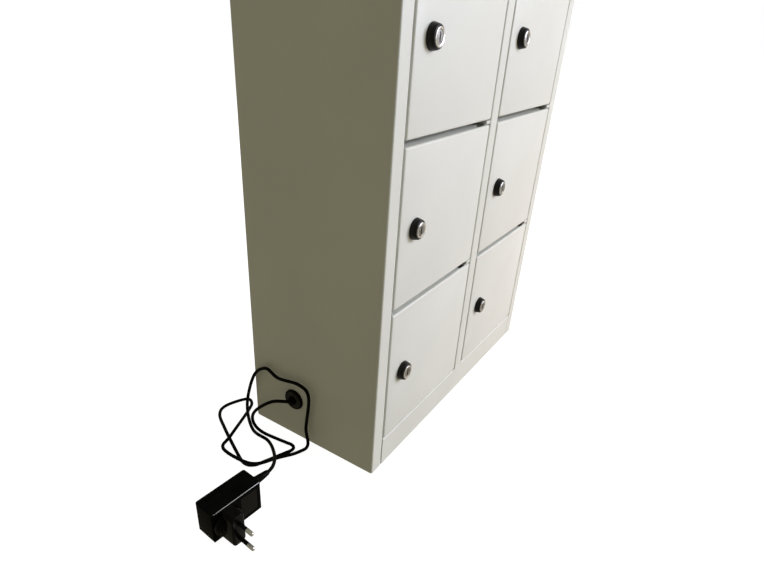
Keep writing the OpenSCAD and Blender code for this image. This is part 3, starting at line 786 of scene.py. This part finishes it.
def make_strain_relief(finish):
    relief = turned("strain_relief_sleeve", [
        (1.8, 0), (4.3, 0), (4.35, 0.4), (4.15, 1.9), (3.8, 2.2), (3.75, 2.6), (3.95, 3),
        (3.1, 11.2), (2.75, 14), (2.6, 15), (2.3, 15.7), (1.95, 15.97), (1.8, 16)], sides=32)
    put(relief, RELIEF_PLACE, (0, math.pi / 2, 0))
    put(relief, ADAPTER_PLACE, (0, 0, ADAPTER_TURN))
    coat(relief, finish)
    smooth(relief, 50)
    hand_over(relief, "cabinet", ["cord_strain_relief"])
    return relief


# Floor, backdrop and light

def make_stage():
    """A pale floor and a white backdrop. Neither sends light back to the cabinet."""
    bpy.ops.object.select_all(action="DESELECT")
    bpy.ops.mesh.primitive_plane_add(size=30)
    floor = settle("floor")
    coat(floor, make_floor_finish())
    bpy.ops.object.select_all(action="DESELECT")
    bpy.ops.mesh.primitive_uv_sphere_add(segments=48, ring_count=24, radius=15)
    backdrop = settle("backdrop")
    white = bpy.data.materials.new("white_backdrop")
    white.use_nodes = True
    tree = white.node_tree
    tree.nodes.clear()
    glow = add_node(tree, "ShaderNodeEmission", Color=(1, 1, 1, 1), Strength=1)
    add_node(tree, "ShaderNodeOutputMaterial", Surface=glow.outputs["Emission"])
    coat(backdrop, white)
    for piece in (floor, backdrop):
        piece.visible_diffuse = False
        piece.visible_glossy = False
    backdrop.visible_shadow = False


def add_light(name, place, aim, size, power, colour, mirrored=True):
    """A round lamp. One that isn't mirrored leaves no reflection in glossy surfaces."""
    light = bpy.data.lights.new(name, "AREA")
    light.shape = "DISK"
    light.size = size
    light.energy = power
    light.color = linear(colour)[:3]
    lamp = bpy.data.objects.new(name, light)
    lamp.location = place
    lamp.rotation_euler = (Vector(aim) - Vector(place)).to_track_quat("-Z", "Y").to_euler()
    lamp.visible_camera = False
    lamp.visible_glossy = mirrored
    bpy.context.scene.collection.objects.link(lamp)


def light_room():
    """A room that is dim and olive on the left and paler on the right, with cool soft daylight from
    the right, in front and behind, and a little from above, and warm light off the floor."""
    world = bpy.data.worlds.new("room")
    bpy.context.scene.world = world
    world.use_nodes = True
    tree = world.node_tree
    way = add_node(tree, "ShaderNodeTexCoord").outputs["Generated"]
    aimed = add_node(
        tree, "ShaderNodeMapping", vector_type="TEXTURE", Vector=way,
        Rotation=(0, math.radians(10), math.radians(-30)))
    sweep = add_node(tree, "ShaderNodeTexGradient", Vector=aimed.outputs["Vector"])
    tone = add_node(
        tree, "ShaderNodeValToRGB", stops=[(0.45, "#8b8671"), (0.85, "#ded5c6")],
        Fac=sweep.outputs["Fac"])
    tree.links.new(tone.outputs["Color"], tree.nodes["Background"].inputs["Color"])
    tree.nodes["Background"].inputs["Strength"].default_value = 0.98
    add_light("window", (1.35, -1.85, 0.95), (0, 0, 0.3), 1.5, 51, "#e7edff")
    add_light("high_window", (0.66, -2.2, 1.8), (0, 0, 0.3), 1.0, 15, "#f4f4f6")
    add_light(
        "warm_bounce", (0.35, -0.5, 0.16), (0.05, 0, 0.06), 0.4, 0.55, "#ffcf98", mirrored=False)
    add_light("ceiling", (0.2, 0.2, 2.6), (0.1, 0, 0), 1.6, 10, "#fffaf2", mirrored=False)
    add_light("back_window", (1.2, 2.0, 1.4), (0, 0, 0.3), 1.4, 34, "#fbfcff", mirrored=False)
    bpy.context.scene.view_settings.view_transform = "Standard"


def make_adapter(jacket):
    """The lead with all that hangs on it: strain relief, housing, plug head and pins."""
    body_black = make_moulded_plastic(
        "black_moulded_polycarbonate", "#060606", "#0a0a0a", 0.26, 0.34, 0.6 * MM, 0.004 * MM, 0.01)
    edge = make_moulded_plastic(
        "polycarbonate_polished_edge", "#0a0a0a", "#101010", 0.1, 0.16, 0.6 * MM, 0.001 * MM, 0.9)
    film = make_moulded_plastic(
        "bare_label_film", "#141210", "#191714", 0.5, 0.6, 0.9 * MM, 0.01 * MM, 0.05)
    head_black = make_moulded_plastic(
        "polished_polycarbonate", "#070707", "#0c0c0c", 0.18, 0.24, 0.6 * MM, 0.002 * MM, 0.07)
    pin_metal = make_plated_metal(
        "nickel_plated_brass", "#f2f3fb", "#dfe0e8", 0.3, 0.42, (1, 0.2, 1))
    cord, line = make_power_cord(jacket)
    relief = make_strain_relief(jacket)
    housing = make_adapter_housing(body_black, film, edge)
    head, pins = make_plug_head(head_black, pin_metal)


def main():
    make_camera()
    frame_paint = make_powder_coat("light_grey_powder_coat", "#d0d2cd", "#cccec9")
    # The doors get their own copy of the powder coat, painted a shade lighter and cooler than the
    # frame's: painted light for the brighter, cooler light on the doors.
    door_paint_painted_light = make_powder_coat("light_grey_powder_coat_doors_painted_light", "#d2d4d0", "#ced0cc")
    black = make_moulded_plastic(
        "black_moulded_abs", "#0b0b0b", "#111111", 0.3, 0.42, 0.7 * MM, 0.03 * MM, 0.25)
    rubber = make_moulded_plastic(
        "moulded_rubber", "#1d1c19", "#272520", 0.5, 0.65, 1.1 * MM, 0.03 * MM, 0.35)
    jacket = make_moulded_plastic(
        "satin_pvc_jacket", "#070707", "#0c0c0c", 0.34, 0.44, 1.2 * MM, 0.01 * MM, 0.04)
    chrome = make_plated_metal(
        "nickel_chrome_plate", "#d6d5d3", "#bdbab7", 0.16, 0.26, (1, 1, 0.15))
    core = make_plated_metal("worn_nickel_plug", "#8b8986", "#73716e", 0.34, 0.46, (1, 1, 1))
    # The keyway's finish is painted near black: painted shade for the shadow inside the slot.
    keyway = make_plated_metal("keyway_painted_shade", "#2b2620", "#191613", 0.5, 0.7, (1, 1, 1))
    zinc = make_plated_metal("bright_zinc_plate", "#c3c8cb", "#a3a7a8", 0.28, 0.42, (0.2, 1, 1))

    make_adapter(jacket)
    make_supply_lead(jacket)
    make_grommet(rubber, jacket)
    for name in ("left_side_panel", "right_side_panel", "top_panel", "base_pan", "plinth_plate",
                 "back_panel", "centre_partition", "shelves", "inner_back_panel"):
        coat(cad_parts[name], frame_paint)
    for name in ("hinge_pins", "board_standoffs"):
        coat(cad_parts[name], zinc)
    coat(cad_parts["charging_board"], make_solder_mask())
    make_hinge_tabs(frame_paint)
    make_sockets(black, zinc)
    make_locks(chrome, core, keyway, zinc, black)
    make_doors(door_paint_painted_light)

    make_stage()
    light_room()


main()
